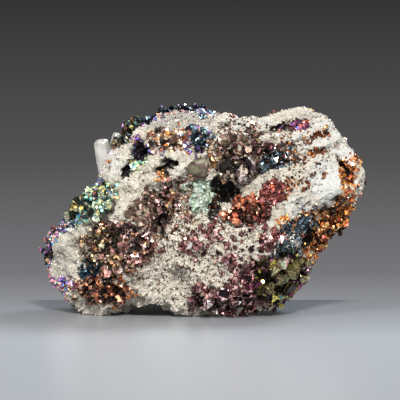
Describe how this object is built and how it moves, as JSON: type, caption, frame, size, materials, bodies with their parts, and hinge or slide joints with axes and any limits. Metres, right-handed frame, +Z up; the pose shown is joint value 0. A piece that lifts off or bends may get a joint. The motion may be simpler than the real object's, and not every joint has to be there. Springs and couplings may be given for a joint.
{
  "type": "chalcopyrite mineral specimen",
  "caption": "Palm-sized broken lump of pale sugary dolomite carrying clusters and crusts of iridescent tarnished chalcopyrite crystals and clear calcite stubs; rests on two worn flats.",
  "frame": {"origin": "on the ground under the middle of the whole specimen's box", "axes": "+X along the longest side, to the right of the shown face; +Z up; the shown face looks towards -Y"},
  "size_m": [0.082, 0.0448, 0.0527],
  "materials": {
    "dolomite": "rough sugary broken surface",
    "calcite": "clear to milky crystal, worn",
    "copper_red_sulphide": "coppery metallic tarnish",
    "mint_coating": "pale greenish powdery coating with glints",
    "violet_sulphide": "grey violet metallic tarnish",
    "steel_sulphide": "blue black metallic tarnish",
    "peacock_sulphide": "blue, teal, gold and magenta iridescent metallic tarnish",
    "gold_sulphide": "golden orange metallic tarnish",
    "brown_sulphide": "brown and plum metallic tarnish",
    "purple_sulphide": "dark purple metallic tarnish",
    "bronze_sulphide": "olive and brassy metallic tarnish"
  },
  "bodies": {
    "root": {"dolomite_rock": "dolomite", "calcite_stub": "calcite", "calcite_stub_small": "calcite", "copper_red_cluster": "copper_red_sulphide", "mint_cluster": "mint_coating", "violet_cluster": "violet_sulphide", "steel_cluster": "steel_sulphide", "blue_cluster": "peacock_sulphide", "gold_crust": "gold_sulphide", "cavity_cluster": "peacock_sulphide", "slot_cluster": "violet_sulphide", "pocket_cluster": "gold_sulphide", "brown_crust": "brown_sulphide", "valley_crust": "brown_sulphide", "foot_crust": "brown_sulphide", "purple_crust": "purple_sulphide", "bronze_cluster": "bronze_sulphide", "orange_crust": "gold_sulphide", "teal_crust": "peacock_sulphide", "tip_crust": "peacock_sulphide", "crest_crust": "peacock_sulphide", "back_crust": "purple_sulphide"}
  },
  "joints": []
}
